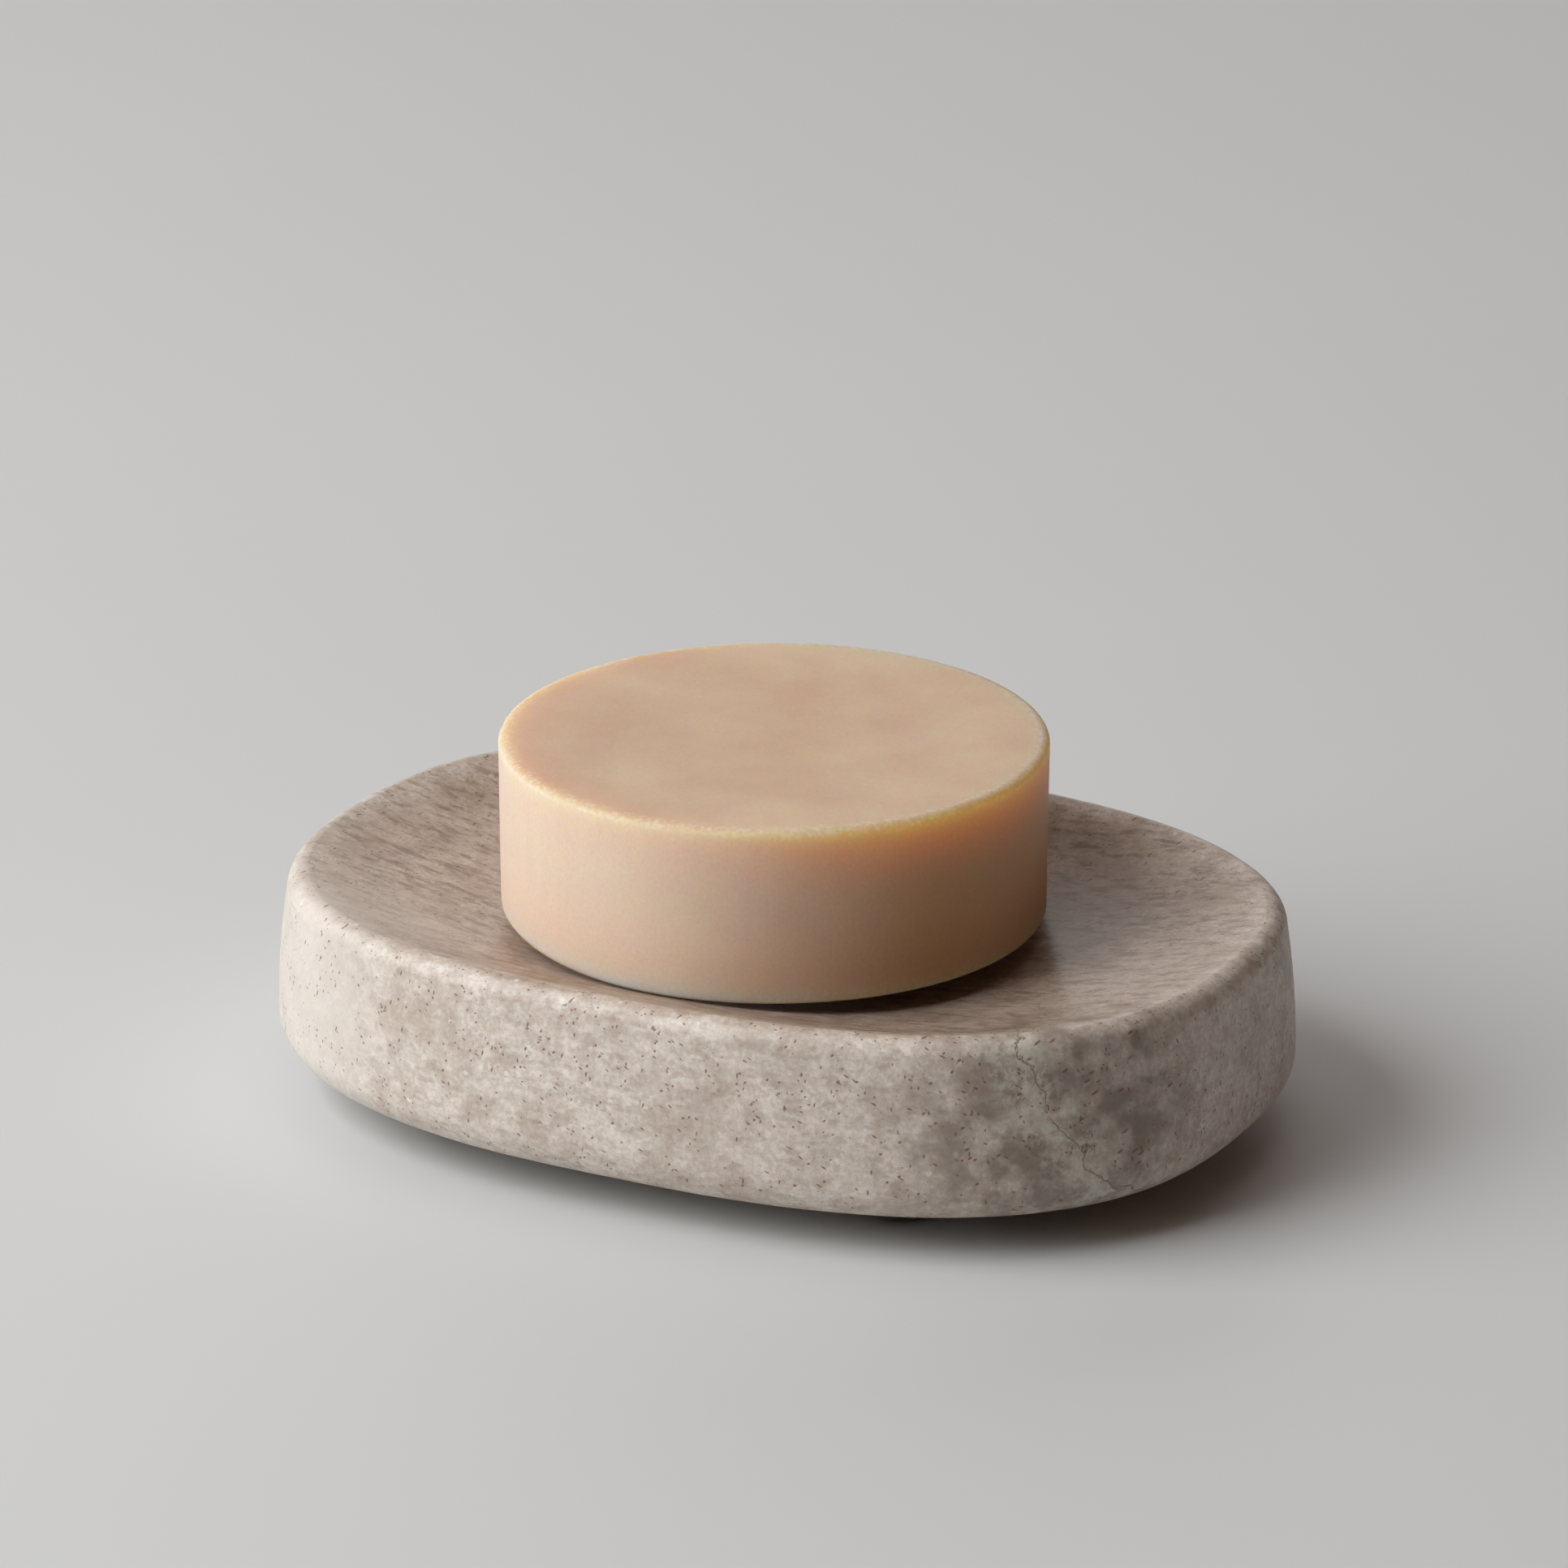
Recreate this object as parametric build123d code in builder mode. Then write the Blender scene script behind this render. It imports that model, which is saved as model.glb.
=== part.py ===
"""Shaving soap puck resting in a stone soap dish that stands on four clear bumper feet.

Frame: millimetres, +Z up, long axis of the dish along X, origin on the surface it stands on,
under the middle of the dish.
"""
from build123d import *
from math import cos, pi, sin
import os

# Soap puck: a poured disc with softly rounded edges and a slightly hollow top
puck_radius = 36.0
puck_height = 23.7
puck_draft = 0.2          # radius lost between the top and the bottom edge
puck_top_round = 0.7      # radius of the rounded top edge
puck_base_round = 0.5
puck_top_dip = 0.3        # the top sinks this much towards its middle as the soap sets
puck_offset = -1.6        # the puck lies a little left of the middle of the dish
puck_below_rim = 3.3      # its flat underside sits this far below the rim

# Stone dish: a pebble-shaped oval block with a shallow hollow
dish_half_length = 67.4
dish_half_width = 49.6
oval_power = 2.5         # 2 is an ellipse, more gives fuller corners
dish_height = 26.0
base_inset = 7.8          # the underside is this much smaller all round
base_rise = 6.2           # height at which the wall is widest
wall_lean = 1.2           # the wall leans in by this much from there to the rim
rim_width = 3.0           # flat rim before its two edges are rounded
rim_outer_round = 2.0
rim_inner_round = 3.0
hollow_depth = 8.7
hollow_floor_scale = 0.15  # size of the small flat left at the bottom of the hollow

# Clear domed bumpers, stuck on under the dish
foot_radius = 5.0
foot_contact_radius = 1.9
foot_height = 3.8
adhesive_radius = 4.8
adhesive_thickness = 0.2
foot_spread_x = 31.0
foot_spread_y = 29.5

foot_dome_height = foot_radius - foot_contact_radius
dish_base_z = foot_height + adhesive_thickness
rim_z = dish_base_z + dish_height
puck_base_z = rim_z - puck_below_rim
outline_points = 36
rounding_steps = 3
wall_steps = 3
hollow_steps = 6

foot_places = [
    (-foot_spread_x, -foot_spread_y),
    (foot_spread_x, -foot_spread_y),
    (foot_spread_x, foot_spread_y),
    (-foot_spread_x, foot_spread_y),
]


def oval_points(half_length, half_width):
    """Points on an oval with fuller corners than an ellipse (a superellipse)."""
    points = []
    for step in range(outline_points):
        angle = 2 * pi * step / outline_points
        reach_x = abs(cos(angle)) / half_length
        reach_y = abs(sin(angle)) / half_width
        radius = (reach_x ** oval_power + reach_y ** oval_power) ** (-1 / oval_power)
        points.append((radius * cos(angle), radius * sin(angle)))
    return points


def wall_sections():
    """Inset and height of each level of the dish's outside, from the underside to the rim."""
    sections = []
    for step in range(rounding_steps):
        angle = pi / 2 * step / rounding_steps
        sections.append((base_inset * (1 - sin(angle)), base_rise * (1 - cos(angle))))
    for step in range(wall_steps + 1):
        share = step / wall_steps
        height = base_rise + (dish_height - base_rise) * share
        sections.append((wall_lean * share ** 2, height))
    return sections


def hollow_sections():
    """Scale and depth of each level of the hollow, from the rim down: a shallow bowl."""
    sections = []
    for step in range(hollow_steps + 1):
        scale = 1 - (1 - hollow_floor_scale) * step / hollow_steps
        sections.append((scale, hollow_depth * (1 - scale ** 2)))
    return sections


os.makedirs("parts", exist_ok=True)

# The stone dish: one solid block, its outside and its hollow lofted through ovals
with BuildPart() as stone_dish:
    for inset, height in wall_sections():
        with BuildSketch(Plane.XY.offset(dish_base_z + height)):
            with BuildLine():
                Spline(*oval_points(dish_half_length - inset, dish_half_width - inset), periodic=True)
            make_face()
    loft()

    hollow_half_length = dish_half_length - wall_lean - rim_width
    hollow_half_width = dish_half_width - wall_lean - rim_width
    for scale, depth in hollow_sections():
        with BuildSketch(Plane.XY.offset(rim_z - depth)):
            with BuildLine():
                Spline(*oval_points(hollow_half_length * scale, hollow_half_width * scale), periodic=True)
            make_face()
    loft(mode=Mode.SUBTRACT)

    rim_edges = stone_dish.edges().filter_by_position(Axis.Z, rim_z - 0.01, rim_z + 0.01).sort_by(SortBy.LENGTH)
    fillet(rim_edges[-1], radius=rim_outer_round)
    rim_edges = stone_dish.edges().filter_by_position(Axis.Z, rim_z - 0.01, rim_z + 0.01).sort_by(SortBy.LENGTH)
    fillet(rim_edges[0], radius=rim_inner_round)
stone_dish.part.label = "stone_dish"
export_step(stone_dish.part, "parts/stone_dish.step")

# The soap puck: half of its section, turned about its own upright axis, then its edges rounded
puck_plane = Plane(origin=(puck_offset, 0, puck_base_z), x_dir=(1, 0, 0), z_dir=(0, -1, 0))
with BuildPart() as soap_puck:
    with BuildSketch(puck_plane):
        with BuildLine():
            Line((0, 0), (puck_radius - puck_draft, 0))
            Line((puck_radius - puck_draft, 0), (puck_radius, puck_height))
            ThreePointArc(
                (puck_radius, puck_height),
                (puck_radius / 2, puck_height - 0.75 * puck_top_dip),
                (0, puck_height - puck_top_dip),
            )
            Line((0, puck_height - puck_top_dip), (0, 0))
        make_face()
    revolve(axis=Axis((puck_offset, 0, 0), (0, 0, 1)))
    outer_edges = soap_puck.edges().filter_by(GeomType.CIRCLE).sort_by(Axis.Z)
    fillet(outer_edges[0], radius=puck_base_round)
    outer_edges = soap_puck.edges().filter_by(GeomType.CIRCLE).sort_by(Axis.Z)
    fillet(outer_edges[-1], radius=puck_top_round)
soap_puck.part.label = "soap_puck"
export_step(soap_puck.part, "parts/soap_puck.step")

# The feet: a domed bumper with a small flat tip, and the adhesive disc that holds it to the stone
for number, (foot_x, foot_y) in enumerate(foot_places, start=1):
    foot_plane = Plane(origin=(foot_x, foot_y, 0), x_dir=(1, 0, 0), z_dir=(0, -1, 0))
    with BuildPart() as bumper_foot:
        with BuildSketch(foot_plane):
            with BuildLine():
                Line((0, 0), (foot_contact_radius, 0))
                TangentArc((foot_contact_radius, 0), (foot_radius, foot_dome_height), tangent=(1, 0))
                Line((foot_radius, foot_dome_height), (foot_radius, foot_height))
                Line((foot_radius, foot_height), (0, foot_height))
                Line((0, foot_height), (0, 0))
            make_face()
        revolve(axis=Axis((foot_x, foot_y, 0), (0, 0, 1)))
    bumper_foot.part.label = f"bumper_foot_{number}"
    export_step(bumper_foot.part, f"parts/bumper_foot_{number}.step")

    with BuildPart() as adhesive_disc:
        with BuildSketch(Plane(origin=(foot_x, foot_y, foot_height), z_dir=(0, 0, 1))):
            Circle(adhesive_radius)
        extrude(amount=adhesive_thickness)
    adhesive_disc.part.label = f"adhesive_disc_{number}"
    export_step(adhesive_disc.part, f"parts/adhesive_disc_{number}.step")
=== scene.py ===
import bpy
from math import cos, sin, pi, radians
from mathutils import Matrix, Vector, noise


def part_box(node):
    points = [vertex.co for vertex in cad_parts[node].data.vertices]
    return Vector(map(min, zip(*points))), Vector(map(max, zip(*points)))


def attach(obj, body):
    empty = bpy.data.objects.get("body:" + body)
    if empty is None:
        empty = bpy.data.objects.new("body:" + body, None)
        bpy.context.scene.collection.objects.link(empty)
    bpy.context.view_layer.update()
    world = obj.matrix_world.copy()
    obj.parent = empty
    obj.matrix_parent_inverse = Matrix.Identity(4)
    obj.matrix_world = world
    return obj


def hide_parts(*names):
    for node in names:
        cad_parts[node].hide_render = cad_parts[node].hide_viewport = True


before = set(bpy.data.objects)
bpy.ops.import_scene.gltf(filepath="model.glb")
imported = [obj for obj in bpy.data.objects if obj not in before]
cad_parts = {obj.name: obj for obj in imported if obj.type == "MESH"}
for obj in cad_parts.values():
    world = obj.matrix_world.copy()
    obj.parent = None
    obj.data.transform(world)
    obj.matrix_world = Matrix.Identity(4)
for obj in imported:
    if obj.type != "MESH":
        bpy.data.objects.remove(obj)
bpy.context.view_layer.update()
millimetre = 0.001
scene = bpy.context.scene

# node settings that several materials share
multiply, subtract, scaleUp = {"operation": "MULTIPLY"}, {"operation": "SUBTRACT"}, {"operation": "SCALE"}
eased, colourMix = {"interpolation_type": "SMOOTHSTEP"}, {"data_type": "RGBA"}


def srgbColour(hexText):
    channels = [int(hexText[place:place + 2], 16) / 255 for place in (0, 2, 4)]
    return (*(c / 12.92 if c <= 0.04045 else ((c + 0.055) / 1.055) ** 2.4 for c in channels), 1.0)


# adds one node with its settings; an input is a plain value, another node's output, or a node for its first one
def addNode(tree, kind, settings=None, inputs=None):
    node = tree.nodes.new(kind)
    for name, value in (settings or {}).items():
        setattr(node, name, value)
    for name, value in (inputs or {}).items():
        if isinstance(value, bpy.types.Node):
            value = value.outputs[0]
        if isinstance(value, bpy.types.NodeSocket):
            tree.links.new(value, node.inputs[name])
        else:
            node.inputs[name].default_value = value
    return node


# a new material with its shader and its place in millimetres
def newMaterial(name):
    material = bpy.data.materials.new(name)
    material.use_nodes = True
    tree = material.node_tree
    place = addNode(tree, "ShaderNodeTexCoord").outputs["Object"]
    mm = addNode(tree, "ShaderNodeVectorMath", scaleUp, {0: place, "Scale": 1000})
    return material, tree, tree.nodes["Principled BSDF"], mm


def smoothStep(low, high, value):
    share = min(max((value - low) / (high - low), 0), 1)
    return share * share * (3 - 2 * share)


# closed skin over rings of points, from the middle of the underside up to the middle of the top
def skinRings(name, rings, attributes, material):
    count = len(rings[0])
    points = [p for ring in rings for p in ring]
    faces = []
    for level in range(len(rings) - 1):
        for step in range(count):
            after = (step + 1) % count
            faces.append((level * count + step, level * count + after,
                          (level + 1) * count + after, (level + 1) * count + step))
    last = (len(rings) - 1) * count
    underside = len(points)
    points.append(sum((Vector(p) for p in rings[0]), Vector()) / count)
    top = len(points)
    points.append(sum((Vector(p) for p in rings[-1]), Vector()) / count)
    for step in range(count):
        after = (step + 1) % count
        faces.append((underside, after, step))
        faces.append((last + step, last + after, top))
    mesh = bpy.data.meshes.new(name)
    mesh.from_pydata([tuple(c * millimetre for c in p) for p in points], [], faces)
    for attributeName, levels in attributes.items():
        values = [value for value in levels for _ in range(count)] + [levels[0], levels[-1]]
        mesh.attributes.new(attributeName, "FLOAT", "POINT").data.foreach_set("value", values)
    mesh.shade_smooth()
    mesh.materials.append(material)
    piece = bpy.data.objects.new(name, mesh)
    scene.collection.objects.link(piece)
    return piece


soap = {
    "radialSteps": 480,
    "rimBevelWidth": 1.2,        # mm, worn shoulder round the top
    "rimBevelHeight": 0.9,
    "rimNickDepth": 0.08,
    "wobble": 0.06,              # how unevenly the outside is finished
    "draft": 0.2,                # the side leans in by this much towards the bottom
    "baseRound": 0.5,
    "wornAndLitSide": 206,             # degrees round the puck where its lower edge is most worn; the key light falls from this side, where the side is painted palest
    "wornReach": 80,
    "wornDepth": 1.1,
    "topDip": 0.3,
    "bodyColour": "dac1a3",
    "deepColour": "cfad92",
    "sideColour": "e6d3bf",      # the side dried paler, shown mostly towards the key light as partly painted light
    "lowSideColour": "f0d0bc",   # and pinker where it sat deepest
    "paintedShadeColour": "d5b28b",   # painted shade: browner on the side turned away from the key light
    "paintedGlowColour": "e8c595",      # painted glow: golden just under the shoulder on the shaded side
    "glowHeight": 10.5,           # mm down from the top
    "glowReach": 1.9,            # light travels this many times further there
    "driedColour": "ebdecd",
    "speckColour": "5e4536",
    "scatterMillimetres": (11.0, 5.6, 0.9),
    "roughness": 0.48,
    "shine": 0.3,
}


# poured tallow soap: waxy and translucent, so light leaks orange through its edges, with a dried pale rim
def makeSoapMaterial():
    material, tree, shader, mm = newMaterial("hardTallowSoapPoured")
    low, high = (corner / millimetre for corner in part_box("soap_puck"))
    side = addNode(tree, "ShaderNodeAttribute", {"attribute_name": "side"}).outputs["Fac"]
    edge = addNode(tree, "ShaderNodeAttribute", {"attribute_name": "edge"}).outputs["Fac"]

    # slow drifts of colour about 14 mm across
    mottle = addNode(tree, "ShaderNodeTexNoise", None, {"Vector": mm, "Scale": 0.07, "Detail": 4})
    mottleShare = addNode(tree, "ShaderNodeMapRange", None,
                          {"Value": mottle, "From Min": 0.35, "From Max": 0.68, "To Max": 0.9})
    colour = addNode(tree, "ShaderNodeMix", colourMix, {0: mottleShare, 6: srgbColour(soap["bodyColour"]),
                                                        7: srgbColour(soap["deepColour"])}).outputs[2]

    # the paler dried side, streaked as it left the mould; towards the worn side, which faces the key light, it is
    # painted paler still as painted light
    drawn = addNode(tree, "ShaderNodeMapping", None, {"Vector": mm, "Scale": (0.5, 0.5, 0.06)})
    streaks = addNode(tree, "ShaderNodeTexNoise", None, {"Vector": drawn, "Scale": 1.0, "Detail": 4})
    streakShare = addNode(tree, "ShaderNodeMapRange", None,
                          {"Value": streaks, "From Min": 0.3, "From Max": 0.7, "To Min": 0.88, "To Max": 1.0})
    facing = Vector((cos(radians(soap["wornAndLitSide"])), sin(radians(soap["wornAndLitSide"])), 0))
    middle = facing.dot((low + high) / 2)
    towards = addNode(tree, "ShaderNodeVectorMath", {"operation": "DOT_PRODUCT"}, {0: mm, 1: facing}).outputs["Value"]
    # painted light: the side is made palest where the key light falls and least pale away from it
    dryAndLitShare = addNode(tree, "ShaderNodeMapRange", eased, {"Value": towards, "From Min": middle - 26,
                                                          "From Max": middle + 22, "To Min": 0.1})
    # painted shade: the side turned away from the key light is painted browner
    awayFromKey = addNode(tree, "ShaderNodeMapRange", eased, {"Value": towards, "From Min": middle + 10,
                                                          "From Max": middle - 20})
    shadedSideShare = addNode(tree, "ShaderNodeMath", multiply, {0: side, 1: awayFromKey})
    colour = addNode(tree, "ShaderNodeMix", colourMix,
                     {0: shadedSideShare, 6: colour, 7: srgbColour(soap["paintedShadeColour"])}).outputs[2]
    pale = addNode(tree, "ShaderNodeMath", multiply, {0: side, 1: streakShare})
    pale = addNode(tree, "ShaderNodeMath", multiply, {0: pale, 1: dryAndLitShare})
    upward = addNode(tree, "ShaderNodeSeparateXYZ", None, {0: mm}).outputs[2]
    climb = addNode(tree, "ShaderNodeMapRange", None,
                    {"Value": upward, "From Min": low.z, "From Max": (low.z + high.z) / 2})
    sideTone = addNode(tree, "ShaderNodeMix", colourMix, {0: climb, 6: srgbColour(soap["lowSideColour"]),
                                                          7: srgbColour(soap["sideColour"])}).outputs[2]
    colour = addNode(tree, "ShaderNodeMix", colourMix, {0: pale, 6: colour, 7: sideTone}).outputs[2]
    # a painted golden glow under the shoulder on the shaded side, standing in for light from above coming through;
    # the soap there also scatters light further
    glowBand = addNode(tree, "ShaderNodeMapRange", eased, {"Value": upward, "From Min": high.z - soap["glowHeight"],
                                                           "From Max": high.z - 2})
    glow = addNode(tree, "ShaderNodeMath", multiply, {0: glowBand, 1: shadedSideShare})
    paintedGlowShare = addNode(tree, "ShaderNodeMath", multiply, {0: glow, 1: 0.6})
    colour = addNode(tree, "ShaderNodeMix", colourMix,
                     {0: paintedGlowShare, 6: colour, 7: srgbColour(soap["paintedGlowColour"])}).outputs[2]

    # fine tallow grain about 0.4 mm across
    grain = addNode(tree, "ShaderNodeTexNoise", None, {"Vector": mm, "Scale": 2.4, "Detail": 3})
    grainTone = addNode(tree, "ShaderNodeMapRange", None,
                        {"Value": grain, "From Min": 0.3, "From Max": 0.7, "To Min": 0.955, "To Max": 1.03})
    colour = addNode(tree, "ShaderNodeVectorMath", scaleUp, {0: colour, "Scale": grainTone})

    # dried, crumbly band along the shoulder and the lower edge
    crumble = addNode(tree, "ShaderNodeTexNoise", None, {"Vector": mm, "Scale": 1.7, "Detail": 5})
    crumbleShare = addNode(tree, "ShaderNodeMapRange", None,
                           {"Value": crumble, "From Min": 0.42, "From Max": 0.72, "To Max": 0.65})
    dried = addNode(tree, "ShaderNodeMath", multiply, {0: edge, 1: crumbleShare})
    colour = addNode(tree, "ShaderNodeMix", colourMix,
                     {0: dried, 6: colour, 7: srgbColour(soap["driedColour"])}).outputs[2]

    # dark specks up to 0.24 mm across in about one 5 mm cell out of six, and pale pits
    for cell, size, rare, tone, strength in ((5.0, 0.12, 0.84, "speckColour", 0.8),
                                             (3.2, 0.2, 0.72, "driedColour", 0.6)):
        spots = addNode(tree, "ShaderNodeTexVoronoi", None, {"Vector": mm, "Scale": 1 / cell}).outputs
        near = addNode(tree, "ShaderNodeMapRange", None, {"Value": spots["Distance"], "From Min": size / cell,
                                                          "From Max": 0.4 * size / cell, "To Max": strength})
        pick = addNode(tree, "ShaderNodeSeparateColor", None, {"Color": spots["Color"]})
        chosen = addNode(tree, "ShaderNodeMath", {"operation": "GREATER_THAN"}, {0: pick, 1: rare})
        share = addNode(tree, "ShaderNodeMath", multiply, {0: near, 1: chosen})
        colour = addNode(tree, "ShaderNodeMix", colourMix,
                         {0: share, 6: colour, 7: srgbColour(soap[tone])}).outputs[2]
    tree.links.new(colour, shader.inputs["Base Color"])

    # surface heights in mm: hand-smoothed waves, fine pores and the crumbly band
    height = addNode(tree, "ShaderNodeMath", multiply, {0: dried, 1: 0.04})
    for scale, detail, tall in ((1.6, 4, 0.03), (0.16, 2, 0.1)):
        wave = addNode(tree, "ShaderNodeTexNoise", None, {"Vector": mm, "Scale": scale, "Detail": detail})
        height = addNode(tree, "ShaderNodeMath", {"operation": "MULTIPLY_ADD"}, {0: wave, 1: tall, 2: height})
    bump = addNode(tree, "ShaderNodeBump", None, {"Height": height, "Distance": millimetre, "Strength": 1.0})
    tree.links.new(bump.outputs[0], shader.inputs["Normal"])
    rough = addNode(tree, "ShaderNodeMapRange", None, {"Value": dried, "To Min": soap["roughness"], "To Max": 0.75})
    tree.links.new(rough.outputs[0], shader.inputs["Roughness"])
    shader.inputs["Specular IOR Level"].default_value = soap["shine"]
    shader.inputs["Subsurface Weight"].default_value = 1.0
    shader.inputs["Subsurface Radius"].default_value = soap["scatterMillimetres"]
    travel = addNode(tree, "ShaderNodeMapRange", None, {"Value": glow, "To Min": millimetre,
                                                        "To Max": soap["glowReach"] * millimetre})
    tree.links.new(travel.outputs[0], shader.inputs["Subsurface Scale"])
    shader.inputs["IOR"].default_value = 1.45
    return material


def makePuck(material):
    low, high = (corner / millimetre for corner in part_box("soap_puck"))
    centreX, centreY = (low.x + high.x) / 2, (low.y + high.y) / 2
    radius, height = (high.x - low.x) / 2, high.z - low.z
    bevelWidth, bevelHeight = soap["rimBevelWidth"], soap["rimBevelHeight"]
    draft, baseRound = soap["draft"], soap["baseRound"]
    flat = radius - bevelWidth
    shoulder = height - bevelHeight
    # section from the middle of the underside: reach, level, how much of it is rim, how much is lower edge
    section = [(radius * 0.96 * (step / 10) ** 0.8, 0, 0, 0) for step in range(1, 11)]
    for step in range(11):
        angle = pi / 2 * step / 10
        section.append((radius - draft - baseRound * (1 - sin(angle)), baseRound * (1 - cos(angle)), 0, 1))
    for step in range(1, 45):
        share = step / 45
        section.append((radius - draft * (1 - share), baseRound + (shoulder - baseRound) * share,
                        smoothStep(0.94, 1, share) * 0.4, 1 - smoothStep(0, 0.1, share)))
    for step in range(19):
        angle = pi / 2 * step / 18
        section.append((radius - bevelWidth * (1 - cos(angle)), shoulder + bevelHeight * sin(angle), 1, 0))
    for step in range(1, 50):
        share = 1 - step / 50
        section.append((flat * share, height - soap["topDip"] * (1 - share ** 2), smoothStep(0.96, 1, share), 0))
    rings = []
    for reach, level, rim, lower in section:
        ring = []
        for step in range(soap["radialSteps"]):
            angle = 2 * pi * step / soap["radialSteps"]
            place = Vector((reach * cos(angle), reach * sin(angle), level))
            nick = max(0, noise.noise(place * 0.45) - 0.12) * 1.8 + max(0, noise.noise(place * 1.3)) * 0.4
            nick *= rim * soap["rimNickDepth"]
            # the lower edge is worn back to a slope on one side
            away = abs((step * 360 / soap["radialSteps"] - soap["wornAndLitSide"] + 180) % 360 - 180)
            worn = soap["wornDepth"] * (1 - smoothStep(10, soap["wornReach"], away))
            slope = max(0, worn - level - (radius - draft - reach)) / 2 if reach > radius - 4 else 0
            wobble = soap["wobble"] * (1 + noise.noise(place * 0.06)) if reach > flat else 0
            inward = nick + slope + wobble
            ring.append((centreX + (reach - inward) * cos(angle), centreY + (reach - inward) * sin(angle),
                         low.z + min(level + slope * 0.6, height) - nick * 0.7))
        rings.append(ring)
    edge = [max(rim, lower * 0.7) for reach, level, rim, lower in section]
    side = [smoothStep(0, 0.6, level) * (1 - smoothStep(shoulder, height, level)) if reach > flat else 0
            for reach, level, rim, lower in section]
    piece = skinRings("soapPuckPoured", rings, {"edge": edge, "side": side}, material)
    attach(piece, "puck")
    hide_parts("soap_puck")
    return centreX, centreY, radius, low.z, height


crumbs = {
    "paleColour": "eadccb",
    "darkColour": "dac2a8",
    # sizes in mm, places in degrees round the puck
    "rim": {"count": 200, "smallest": 0.025, "largest": 0.065, "startDegrees": 0, "sweepDegrees": 360, "seed": 4},
    "lowerEdge": {"count": 260, "smallest": 0.03, "largest": 0.09, "startDegrees": 200, "sweepDegrees": 110,
                  "seed": 9},
}


# scatters crumbs along part of a ring; lengths in metres and turns in radians
def makeCrumbTree():
    tree = bpy.data.node_groups.new("soapCrumbs", "GeometryNodeTree")
    tree.is_modifier = True
    for name, kind in (("Count", "NodeSocketInt"), ("Middle", "NodeSocketVector"), ("Radius", "NodeSocketFloat"),
                       ("Radius Spread", "NodeSocketFloat"), ("Height Spread", "NodeSocketFloat"),
                       ("Start", "NodeSocketFloat"), ("Sweep", "NodeSocketFloat"), ("Smallest", "NodeSocketFloat"),
                       ("Largest", "NodeSocketFloat"), ("Seed", "NodeSocketInt"), ("Material", "NodeSocketMaterial")):
        tree.interface.new_socket(name, in_out="INPUT", socket_type=kind)
    tree.interface.new_socket("Geometry", in_out="OUTPUT", socket_type="NodeSocketGeometry")
    given = addNode(tree, "NodeGroupInput").outputs
    seeds = [given["Seed"]]
    for extra in (11, 23, 37, 51):
        seeds.append(addNode(tree, "ShaderNodeMath", None, {0: given["Seed"], 1: extra}))
    sweep = addNode(tree, "FunctionNodeRandomValue", {"data_type": "FLOAT"},
                    {2: 0.0, 3: given["Sweep"], 8: seeds[0]}).outputs[1]
    angle = addNode(tree, "ShaderNodeMath", None, {0: given["Start"], 1: sweep})
    # a crumb further in on the shoulder also lies higher, so one random share drives both
    share = addNode(tree, "FunctionNodeRandomValue", {"data_type": "FLOAT"}, {2: 0.0, 3: 1.0, 8: seeds[1]}).outputs[1]
    inward = addNode(tree, "ShaderNodeMath", multiply, {0: share, 1: given["Radius Spread"]})
    reach = addNode(tree, "ShaderNodeMath", subtract, {0: given["Radius"], 1: inward})
    rise = addNode(tree, "ShaderNodeMath", {"operation": "POWER"}, {0: share, 1: 0.55})
    rise = addNode(tree, "ShaderNodeMath", multiply, {0: rise, 1: given["Height Spread"]})
    along = []
    for operation in ("COSINE", "SINE"):
        turned = addNode(tree, "ShaderNodeMath", {"operation": operation}, {0: angle})
        along.append(addNode(tree, "ShaderNodeMath", multiply, {0: turned, 1: reach}))
    offset = addNode(tree, "ShaderNodeCombineXYZ", None, {0: along[0], 1: along[1], 2: rise})
    place = addNode(tree, "ShaderNodeVectorMath", None, {0: given["Middle"], 1: offset})
    points = addNode(tree, "GeometryNodePoints", None, {"Count": given["Count"], "Position": place})
    crumb = addNode(tree, "GeometryNodeMeshIcoSphere", None, {"Radius": 1.0, "Subdivisions": 1})
    turn = addNode(tree, "FunctionNodeRandomValue", {"data_type": "FLOAT_VECTOR"},
                   {0: (0, 0, 0), 1: (6.28, 6.28, 6.28), 8: seeds[2]})
    size = addNode(tree, "FunctionNodeRandomValue", {"data_type": "FLOAT"},
                   {2: given["Smallest"], 3: given["Largest"], 8: seeds[3]}).outputs[1]
    shape = addNode(tree, "FunctionNodeRandomValue", {"data_type": "FLOAT_VECTOR"},
                    {0: (0.5, 0.5, 0.3), 1: (1.4, 1.0, 0.7), 8: seeds[4]})
    scale = addNode(tree, "ShaderNodeVectorMath", scaleUp, {0: shape, "Scale": size})
    placed = addNode(tree, "GeometryNodeInstanceOnPoints", None,
                     {"Points": points, "Instance": crumb, "Rotation": turn, "Scale": scale})
    real = addNode(tree, "GeometryNodeRealizeInstances", None, {0: placed})
    finished = addNode(tree, "GeometryNodeSetMaterial", None, {"Geometry": real, "Material": given["Material"]})
    addNode(tree, "NodeGroupOutput", None, {0: finished})
    return tree


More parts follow.
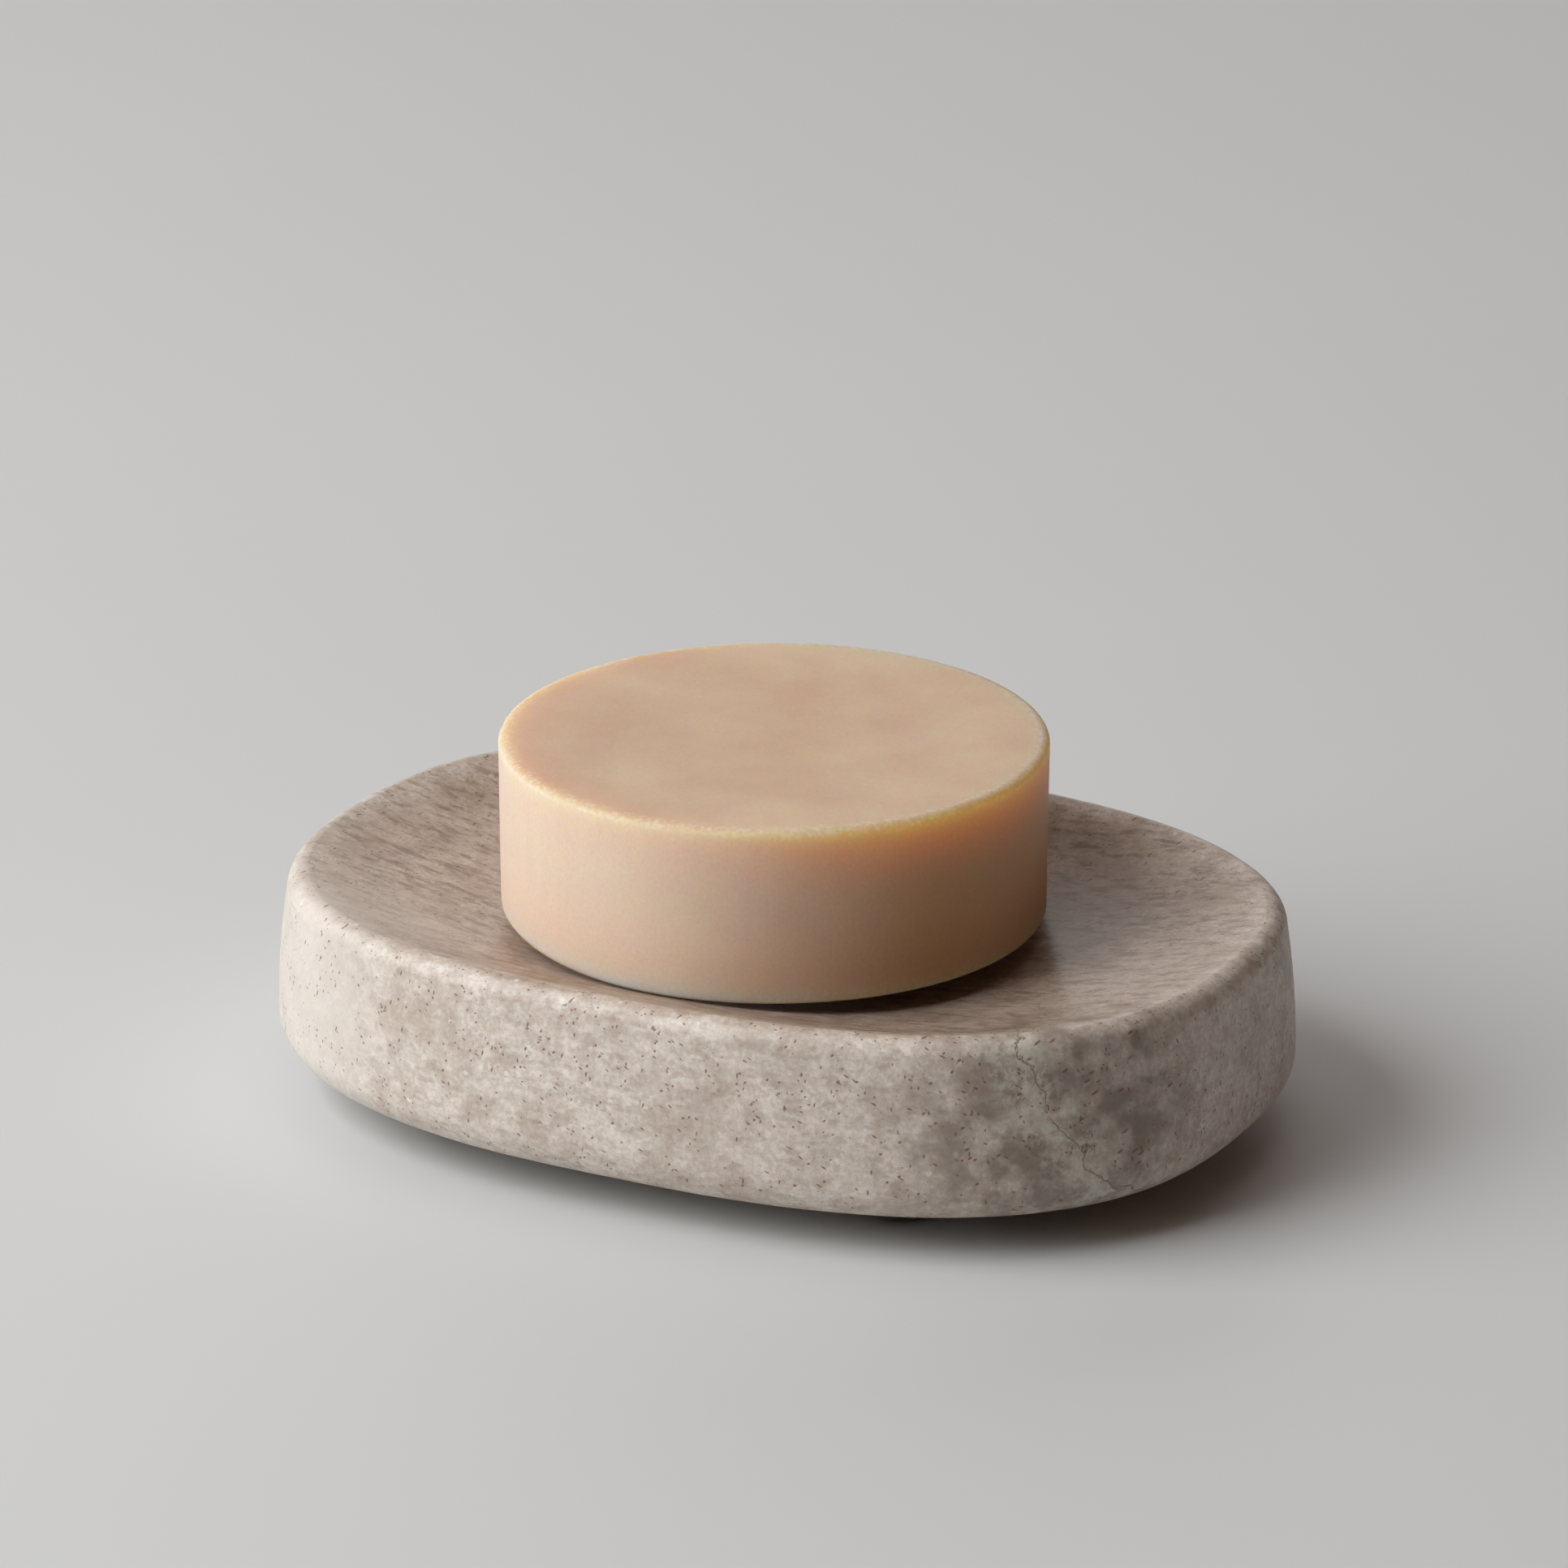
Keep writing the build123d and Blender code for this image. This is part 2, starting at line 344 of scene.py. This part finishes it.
def growCrumbs(tree, name, settings, middle, radius, radiusSpread, heightSpread, material):
    piece = bpy.data.objects.new(name, bpy.data.meshes.new(name + "Seed"))
    scene.collection.objects.link(piece)
    grower = piece.modifiers.new("crumbs", "NODES")
    grower.node_group = tree
    sizes = {"Count": settings["count"], "Middle": [c * millimetre for c in middle], "Radius": radius * millimetre,
             "Radius Spread": radiusSpread * millimetre, "Height Spread": heightSpread * millimetre,
             "Start": radians(settings["startDegrees"]), "Sweep": radians(settings["sweepDegrees"]),
             "Smallest": settings["smallest"] * millimetre, "Largest": settings["largest"] * millimetre,
             "Seed": settings["seed"], "Material": material}
    for item in tree.interface.items_tree:
        if item.in_out == "INPUT":
            grower[item.identifier] = sizes[item.name]
    grown = bpy.data.meshes.new_from_object(piece.evaluated_get(bpy.context.evaluated_depsgraph_get()))
    piece.modifiers.remove(grower)
    piece.data = grown
    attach(piece, "puck")


# dried soap crumbs: chalky and paler than the body they broke from
def makeCrumbMaterial():
    material, tree, shader, mm = newMaterial("driedSoapCrumbs")
    tone = addNode(tree, "ShaderNodeTexNoise", None, {"Vector": mm, "Scale": 0.8})
    colour = addNode(tree, "ShaderNodeMix", colourMix, {0: tone, 6: srgbColour(crumbs["paleColour"]),
                                                        7: srgbColour(crumbs["darkColour"])})
    tree.links.new(colour.outputs[2], shader.inputs["Base Color"])
    shader.inputs["Roughness"].default_value = 0.7
    shader.inputs["Subsurface Weight"].default_value = 0.5
    shader.inputs["Subsurface Radius"].default_value = (1.0, 0.6, 0.4)
    shader.inputs["Subsurface Scale"].default_value = millimetre
    return material


puckX, puckY, puckRadius, puckBase, puckHeight = makePuck(makeSoapMaterial())
crumbMaterial, crumbTree = makeCrumbMaterial(), makeCrumbTree()
growCrumbs(crumbTree, "soapRimCrumbs", crumbs["rim"],
           (puckX, puckY, puckBase + puckHeight - soap["rimBevelHeight"] - 0.1), puckRadius - 0.25,
           soap["rimBevelWidth"], soap["rimBevelHeight"] - 0.1, crumbMaterial)
growCrumbs(crumbTree, "soapLowerEdgeCrumbs", crumbs["lowerEdge"],
           (puckX, puckY, puckBase + 0.3), puckRadius - 0.75, 0.5, 0.1, crumbMaterial)
print("soap puck and its crumbs made")


stone = {
    "radialSteps": 360,
    "ovalPower": 2.5,
    "baseInset": 7.8,            # mm, all of these repeat the solid's own sizes
    "baseRise": 6.2,
    "wallLean": 1.2,
    "hollowInset": 4.2,
    "hollowDepth": 8.7,
    "hollowEase": 0.3,           # softens the turn from the crest into the hollow
    "slack": 0.08,               # kept inside the solid all round
    "crestWidth": 2.7,           # the hand-rounded edge between wall and hollow
    "crestHeight": 2.7,
    "carvedDepth": 0.3,
    "paleGrain": "ebe6de",
    "warmGrain": "ccbeb0",
    "taupe": "a99585",
    "bedding": "8f7d70",
    "whiteCloud": "e2dcd4",
    "whiteCrystal": "f3f1ec",
    "smudge": "8f6d58",
    "fleckColour": "7a5138",
    "veinColour": "d5d5c6",
    "patchColour": "83756a",
    "crackColour": "6b5e50",
    "polishTint": "d6c8bd",
    "cloudMiddle": (-52, -35, 18),   # mm, a white cloud through the front left corner
    "patchMiddle": (56, -33, 17),    # a darker patch round the vein at the front right corner
    "veinReach": 67.2,               # where the vein crosses the front wall
    "veinShare": 0.75,               # how far each of these covers the stone under it
    "crackShare": 0.4,
    "smudgeShare": 0.18,
    "fleckShare": 0.82,
    "honedRoughness": 0.44,
    "polishedRoughness": 0.28,
}


# granular marble, honed on the wall and polished in the hollow: pale crystals with brown mica needles
def makeStoneMaterial():
    material, tree, shader, mm = newMaterial("granularMarbleHonedAndPolished")
    axes = addNode(tree, "ShaderNodeSeparateXYZ", None, {0: mm}).outputs
    hollow = addNode(tree, "ShaderNodeAttribute", {"attribute_name": "hollow"}).outputs["Fac"]
    wander = addNode(tree, "ShaderNodeTexNoise", None, {"Vector": mm, "Scale": 0.5, "Detail": 3})
    push = addNode(tree, "ShaderNodeVectorMath", scaleUp, {0: wander.outputs[1], "Scale": 0.6})
    warped = addNode(tree, "ShaderNodeVectorMath", None, {0: mm, 1: push})
    laidFlat = addNode(tree, "ShaderNodeMapping", None, {"Vector": mm, "Scale": (0.22, 0.75, 0.75)})

    # crystals 0.8 mm across
    grains = addNode(tree, "ShaderNodeTexVoronoi", None, {"Vector": warped, "Scale": 1 / 0.8})
    grainTone = addNode(tree, "ShaderNodeSeparateColor", None, {"Color": grains.outputs["Color"]}).outputs

    # uneven fields: repeats in a millimetre, detail, roughness, then the two ends and how far each eases
    fields = {}
    for name, where, scale, detail, rough, low, high, least, most in (
            ("sugar", mm, 1.5, 4, 0.65, 0.38, 0.62, 0, 0.5),
            ("largeClouds", mm, 0.11, 5, 0.6, 0.4, 0.7, 0, 0.45),
            ("smallClouds", mm, 0.42, 5, 0.6, 0.46, 0.74, 0, 0.3),
            ("beds", laidFlat, 1.0, 6, 0.65, 0.46, 0.66, 0, 1),      # streaks 4 mm long and 1.3 mm wide
            ("mottle", mm, 0.22, 5, 0.5, 0.36, 0.62, 0.2, 0.8),
            ("flakes", mm, 0.8, 6, 0.7, 0.4, 0.62, 0, 1),
            ("clusters", mm, 0.3, 3, 0.5, 0.38, 0.64, 0.42, 1.2)):
        uneven = addNode(tree, "ShaderNodeTexNoise", None,
                         {"Vector": where, "Scale": scale, "Detail": detail, "Roughness": rough})
        fields[name] = addNode(tree, "ShaderNodeMapRange", eased, {
            "Value": uneven, "From Min": low, "From Max": high, "To Min": least, "To Max": most})
    grainShare = addNode(tree, "ShaderNodeMath", {"operation": "MULTIPLY_ADD"},
                         {0: grainTone[0], 1: 0.42, 2: fields["sugar"]})
    bedStrength = addNode(tree, "ShaderNodeMapRange", eased, {"Value": hollow, "To Min": 0.25, "To Max": 0.7})
    bedShare = addNode(tree, "ShaderNodeMath", multiply, {0: fields["beds"], 1: bedStrength})

    # two ragged patches, each fading out from its middle
    patches = []
    raggedness = addNode(tree, "ShaderNodeTexNoise", None, {"Vector": mm, "Scale": 0.09, "Detail": 5})
    for middle, inner, outer, most in ((stone["cloudMiddle"], 14, 34, 0.7), (stone["patchMiddle"], 16, 32, 1.0)):
        gap = addNode(tree, "ShaderNodeVectorMath", {"operation": "DISTANCE"}, {0: mm, 1: middle}).outputs["Value"]
        ragged = addNode(tree, "ShaderNodeMath", {"operation": "MULTIPLY_ADD"}, {0: raggedness, 1: 14, 2: gap})
        patches.append(addNode(tree, "ShaderNodeMapRange", eased,
                               {"Value": ragged, "From Min": outer, "From Max": inner, "To Max": most}))
    cloudShare, patchFade = patches
    patchShare = addNode(tree, "ShaderNodeMath", multiply, {0: patchFade, 1: fields["mottle"]})

    # white crystals about 0.9 mm across, in one 3 mm cell out of four
    crystals = addNode(tree, "ShaderNodeTexVoronoi", None, {"Vector": warped, "Scale": 1 / 3}).outputs
    crystalPick = addNode(tree, "ShaderNodeSeparateColor", None, {"Color": crystals["Color"]})
    crystalNear = addNode(tree, "ShaderNodeMapRange", eased, {"Value": crystals["Distance"], "From Min": 0.17,
                                                              "From Max": 0.08, "To Max": 0.6})
    crystalChosen = addNode(tree, "ShaderNodeMath", {"operation": "GREATER_THAN"}, {0: crystalPick, 1: 0.75})
    crystalShare = addNode(tree, "ShaderNodeMath", multiply, {0: crystalNear, 1: crystalChosen})

    # a pale flaky vein leaning across the front wall, with a hairline crack beside it
    leaning = addNode(tree, "ShaderNodeMath", {"operation": "MULTIPLY_ADD"}, {0: axes[2], 1: 0.5, 2: axes[0]})
    bend = addNode(tree, "ShaderNodeTexNoise", None, {"Vector": mm, "Scale": 0.25, "Detail": 5})
    across = addNode(tree, "ShaderNodeMath", {"operation": "MULTIPLY_ADD"}, {0: bend, 1: 7.0, 2: leaning})
    frontOnly = addNode(tree, "ShaderNodeMapRange", eased, {"Value": axes[1], "From Min": -16, "From Max": -24})
    flaky = addNode(tree, "ShaderNodeMath", multiply, {0: frontOnly, 1: fields["flakes"]})
    seams = []
    for reach, outer, inner, most in ((stone["veinReach"], 5.0, 0.8, stone["veinShare"]),
                                      (stone["veinReach"] + 1, 0.25, 0.02, 1.0)):
        off = addNode(tree, "ShaderNodeMath", subtract, {0: across, 1: reach})
        away = addNode(tree, "ShaderNodeMath", {"operation": "ABSOLUTE"}, {0: off})
        line = addNode(tree, "ShaderNodeMapRange", eased,
                       {"Value": away, "From Min": outer, "From Max": inner, "To Max": most})
        seams.append(addNode(tree, "ShaderNodeMath", multiply, {0: line, 1: flaky}))
    veinShare, crack = seams
    crackShare = addNode(tree, "ShaderNodeMath", multiply, {0: crack, 1: stone["crackShare"]})

    # mica needles 0.5 to 1.2 mm long and 0.25 mm wide, lying three ways and gathered in clusters
    smudgeShare = addNode(tree, "ShaderNodeMapRange", eased, {
        "Value": fields["clusters"], "From Min": 0.9, "From Max": 1.2, "To Max": stone["smudgeShare"]})
    flecks = 0.0
    for turn, cell in (((0.3, 0.5, 0.2), 0.85), ((1.2, -0.4, 1.1), 1.25), ((-0.7, 1.3, 2.1), 1.0)):
        laid = addNode(tree, "ShaderNodeMapping", {"vector_type": "TEXTURE"},
                       {"Vector": warped, "Rotation": turn, "Scale": (2.8, 0.78, 0.78)})
        needles = addNode(tree, "ShaderNodeTexVoronoi", None, {"Vector": laid, "Scale": 1 / cell})
        chance = addNode(tree, "ShaderNodeSeparateColor", None, {"Color": needles.outputs["Color"]}).outputs[1]
        likely = addNode(tree, "ShaderNodeMath", multiply, {0: chance, 1: fields["clusters"]})
        chosen = addNode(tree, "ShaderNodeMath", {"operation": "GREATER_THAN"}, {0: likely, 1: 0.5})
        body = addNode(tree, "ShaderNodeMapRange", eased, {"Value": needles, "From Min": 0.22, "From Max": 0.1})
        one = addNode(tree, "ShaderNodeMath", multiply, {0: body, 1: chosen})
        flecks = addNode(tree, "ShaderNodeMath", {"operation": "MAXIMUM"}, {0: flecks, 1: one})
    fleckShare = addNode(tree, "ShaderNodeMath", multiply, {0: flecks, 1: stone["fleckShare"]})

    colour = srgbColour(stone["paleGrain"])
    for share, tone in ((grainShare, "warmGrain"), (fields["largeClouds"], "taupe"), (fields["smallClouds"], "taupe"),
                        (bedShare, "bedding"), (smudgeShare, "smudge"), (cloudShare, "whiteCloud"),
                        (crystalShare, "whiteCrystal"), (patchShare, "patchColour"), (veinShare, "veinColour"),
                        (crackShare, "crackColour"), (fleckShare, "fleckColour")):
        colour = addNode(tree, "ShaderNodeMix", colourMix,
                         {0: share, 6: colour, 7: srgbColour(stone[tone])}).outputs[2]
    # a polished face looks deeper and browner than a honed one
    polish = addNode(tree, "ShaderNodeMath", multiply, {0: hollow, 1: 0.85})
    colour = addNode(tree, "ShaderNodeMix", {"data_type": "RGBA", "blend_type": "MULTIPLY"},
                     {0: polish, 6: colour, 7: srgbColour(stone["polishTint"])}).outputs[2]
    tree.links.new(colour, shader.inputs["Base Color"])
    rough = addNode(tree, "ShaderNodeMapRange", eased, {
        "Value": hollow, "To Min": stone["honedRoughness"], "To Max": stone["polishedRoughness"]})
    tree.links.new(rough.outputs[0], shader.inputs["Roughness"])

    # heights in mm, smoother where it is polished
    height = addNode(tree, "ShaderNodeMath", multiply, {0: wander, 1: 0.09})
    for field, tall in ((grainTone[1], 0.035), (flecks, -0.02), (crack, -0.22)):
        height = addNode(tree, "ShaderNodeMath", {"operation": "MULTIPLY_ADD"}, {0: field, 1: tall, 2: height})
    kept = addNode(tree, "ShaderNodeMapRange", eased, {"Value": hollow, "To Min": 1.0, "To Max": 0.3})
    height = addNode(tree, "ShaderNodeMath", multiply, {0: height, 1: kept})
    bump = addNode(tree, "ShaderNodeBump", None, {"Height": height, "Distance": millimetre, "Strength": 1.0})
    tree.links.new(bump.outputs[0], shader.inputs["Normal"])
    shader.inputs["IOR"].default_value = 1.5
    shader.inputs["Subsurface Weight"].default_value = 0.15
    shader.inputs["Subsurface Radius"].default_value = (1.2, 1.0, 0.8)
    shader.inputs["Subsurface Scale"].default_value = millimetre
    return material


def ovalReach(angle, halfLength, halfWidth):
    power = stone["ovalPower"]
    return ((abs(cos(angle)) / halfLength) ** power + (abs(sin(angle)) / halfWidth) ** power) ** (-1 / power)


def makeDish(material):
    low, high = (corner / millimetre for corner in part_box("stone_dish"))
    halfLength, halfWidth = (high.x - low.x) / 2 - stone["slack"], (high.y - low.y) / 2 - stone["slack"]
    base, tall = low.z, high.z - low.z
    # inset in mm or scale, height, how far carved, how much is hollow
    levels = [("scale", step / 12.5, 0, 0, 0) for step in range(1, 13)]
    for step in range(17):
        angle = pi / 2 * step / 16
        levels.append(("inset", stone["baseInset"] * (1 - sin(angle)), stone["baseRise"] * (1 - cos(angle)),
                       smoothStep(0, 6, step), 0))
    wallTop = tall - stone["crestHeight"]
    for step in range(1, 50):
        share = step / 49
        levels.append(("inset", stone["wallLean"] * share ** 2,
                       stone["baseRise"] + (wallTop - stone["baseRise"]) * share, 1, 0))
    for step in range(1, 19):
        angle = pi / 2 * step / 18
        levels.append(("inset", stone["wallLean"] + stone["crestWidth"] * (1 - cos(angle)),
                       wallTop + stone["crestHeight"] * sin(angle), 1, smoothStep(9, 18, step) * 0.5))
    for step in range(1, 110):
        scale = 1 - step / 110
        drop = stone["hollowDepth"] * (1 - scale ** 2)
        levels.append(("bowl", scale, tall - (drop ** 2 + stone["hollowEase"] ** 2) ** 0.5, 0.5,
                       0.5 + 0.5 * smoothStep(0, 8, step)))
    rings = []
    for kind, amount, height, carved, _ in levels:
        ring = []
        for step in range(stone["radialSteps"]):
            angle = 2 * pi * step / stone["radialSteps"]
            if kind == "inset":
                reach = ovalReach(angle, halfLength - amount, halfWidth - amount)
            else:
                inset = stone["baseInset"] if kind == "scale" else stone["hollowInset"]
                reach = amount * ovalReach(angle, halfLength - inset, halfWidth - inset)
            place = Vector((reach * cos(angle), reach * sin(angle), height))
            rough = 0.5 + 0.5 * noise.noise(place * 0.05) + 0.25 * max(0, noise.noise(place * 0.35))
            cut = carved * stone["carvedDepth"] * rough
            inward = 0 if kind == "bowl" else cut
            downward = cut if kind == "bowl" or height > wallTop else 0
            ring.append(((reach - inward) * cos(angle), (reach - inward) * sin(angle), base + height - downward))
        rings.append(ring)
    piece = skinRings("stoneDishCarved", rings, {"hollow": [level[4] for level in levels]}, material)
    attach(piece, "dish")
    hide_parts("stone_dish")


makeDish(makeStoneMaterial())
print("stone dish made")


bumper = {"tint": "f2f1ec", "roughness": 0.06}
film = {"clear": "e9e6dc", "hazy": "cfcabd", "roughness": 0.35}


# moulded clear polyurethane: glassy, with the faint ripple of soft rubber
def makeBumperMaterial():
    material, tree, shader, mm = newMaterial("clearPolyurethaneMoulded")
    ripple = addNode(tree, "ShaderNodeTexNoise", None, {"Vector": mm, "Scale": 0.6, "Detail": 2})
    bump = addNode(tree, "ShaderNodeBump", None, {"Height": ripple, "Distance": 0.03 * millimetre})
    tree.links.new(bump.outputs[0], shader.inputs["Normal"])
    shader.inputs["Base Color"].default_value = srgbColour(bumper["tint"])
    shader.inputs["Roughness"].default_value = bumper["roughness"]
    shader.inputs["Transmission Weight"].default_value = 1.0
    shader.inputs["IOR"].default_value = 1.5
    return material


# acrylic adhesive film: milky where tiny bubbles are trapped
def makeFilmMaterial():
    material, tree, shader, mm = newMaterial("acrylicAdhesiveFilm")
    bubbles = addNode(tree, "ShaderNodeTexNoise", None, {"Vector": mm, "Scale": 1.5, "Detail": 3})
    colour = addNode(tree, "ShaderNodeMix", colourMix,
                     {0: bubbles, 6: srgbColour(film["clear"]), 7: srgbColour(film["hazy"])})
    tree.links.new(colour.outputs[2], shader.inputs["Base Color"])
    shader.inputs["Roughness"].default_value = film["roughness"]
    shader.inputs["Transmission Weight"].default_value = 0.5
    return material


footMaterials = {"bumper_foot": makeBumperMaterial(), "adhesive_disc": makeFilmMaterial()}
for name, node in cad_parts.items():
    for start, material in footMaterials.items():
        if name.startswith(start):
            node.data.materials.clear()
            node.data.materials.append(material)
print("feet finished")


studio = {
    "floorColour": "dadddf",
    "floorDrift": "d6d9d9",
    "floorRadius": 2.2,          # metres
    "viewAzimuth": 26.4,         # degrees round from the front of the dish
    "viewElevation": 20.6,
    "viewDistance": 1250,        # mm
    "frameWidth": 204.25,        # mm across the frame at that distance
    "aimRight": 1.31,            # mm from the middle of the puck's top
    "aimUp": -6.55,
    "airColour": "ffb888",
    "airStrength": 0.06,
    "backdropColour": "c9c9c8",
    # side is degrees round from the camera, to its right; up is degrees above the floor; metres and watts
    "lights": {
        "key": {"side": -75, "up": 38, "distance": 1.5, "width": 1.3, "height": 1.4, "power": 26.8},
        "topSoft": {"side": 180, "up": 84, "distance": 1.6, "width": 1.2, "height": 1.2, "power": 3.0},
        "backPanel": {"side": -160, "up": 22, "distance": 2.0, "width": 3.2, "height": 1.4, "power": 9.5},
    },
}
azimuth, elevation = radians(studio["viewAzimuth"]), radians(studio["viewElevation"])
cameraRight = Vector((cos(azimuth), sin(azimuth), 0))
cameraFront = Vector((sin(azimuth), -cos(azimuth), 0))
cameraBack = cameraFront * cos(elevation) + Vector((0, 0, sin(elevation)))
cameraUp = cameraBack.cross(cameraRight)

bpy.ops.mesh.primitive_circle_add(vertices=96, radius=studio["floorRadius"], fill_type="NGON")
floor = bpy.context.object
floor.name = "floor"
floorMaterial, floorTree, floorShader, floorPlace = newMaterial("paleHonedFloor")
floorTone = addNode(floorTree, "ShaderNodeTexNoise", None, {"Vector": floorPlace, "Scale": 0.006, "Detail": 4})
floorColour = addNode(floorTree, "ShaderNodeMix", colourMix,
                      {0: floorTone, 6: srgbColour(studio["floorColour"]), 7: srgbColour(studio["floorDrift"])})
floorTree.links.new(floorColour.outputs[2], floorShader.inputs["Base Color"])
floorShader.inputs["Roughness"].default_value = 0.5
floor.data.materials.append(floorMaterial)

target = Vector((0, 0, 0.025))
for name, light in studio["lights"].items():
    side, up = radians(light["side"]), radians(light["up"])
    direction = (cameraFront * cos(side) + cameraRight * sin(side)) * cos(up) + Vector((0, 0, sin(up)))
    data = bpy.data.lights.new(name, "AREA")
    data.shape = "RECTANGLE"
    data.size, data.size_y, data.energy = light["width"], light["height"], light["power"]
    lamp = bpy.data.objects.new(name, data)
    lamp.location = target + direction * light["distance"]
    lamp.rotation_euler = direction.to_track_quat("Z", "Y").to_euler()
    lamp.visible_camera = False
    scene.collection.objects.link(lamp)

# warm dim air lights the shadows, in front of a plain pale backdrop
world = bpy.data.worlds.new("studioAir")
world.use_nodes = True
scene.world = world
air = world.node_tree
glow = addNode(air, "ShaderNodeBackground", None,
               {"Color": srgbColour(studio["airColour"]), "Strength": studio["airStrength"]})
backdrop = addNode(air, "ShaderNodeBackground", None,
                   {"Color": srgbColour(studio["backdropColour"]), "Strength": 1.0})
seen = addNode(air, "ShaderNodeLightPath").outputs["Is Camera Ray"]
both = addNode(air, "ShaderNodeMixShader", None, {0: seen, 1: glow, 2: backdrop})
air.links.new(both.outputs[0], air.nodes["World Output"].inputs["Surface"])

puckTop = Vector((puckX, puckY, puckBase + puckHeight)) * millimetre
aim = puckTop + (cameraRight * studio["aimRight"] + cameraUp * studio["aimUp"]) * millimetre
lens = bpy.data.cameras.new("camera")
lens.sensor_width = 36
lens.lens = 36 * studio["viewDistance"] / studio["frameWidth"]
camera = bpy.data.objects.new("camera", lens)
camera.location = aim + cameraBack * studio["viewDistance"] * millimetre
camera.rotation_euler = cameraBack.to_track_quat("Z", "Y").to_euler()
scene.collection.objects.link(camera)
scene.camera = camera
scene.view_settings.view_transform = "Standard"
print("studio ready")
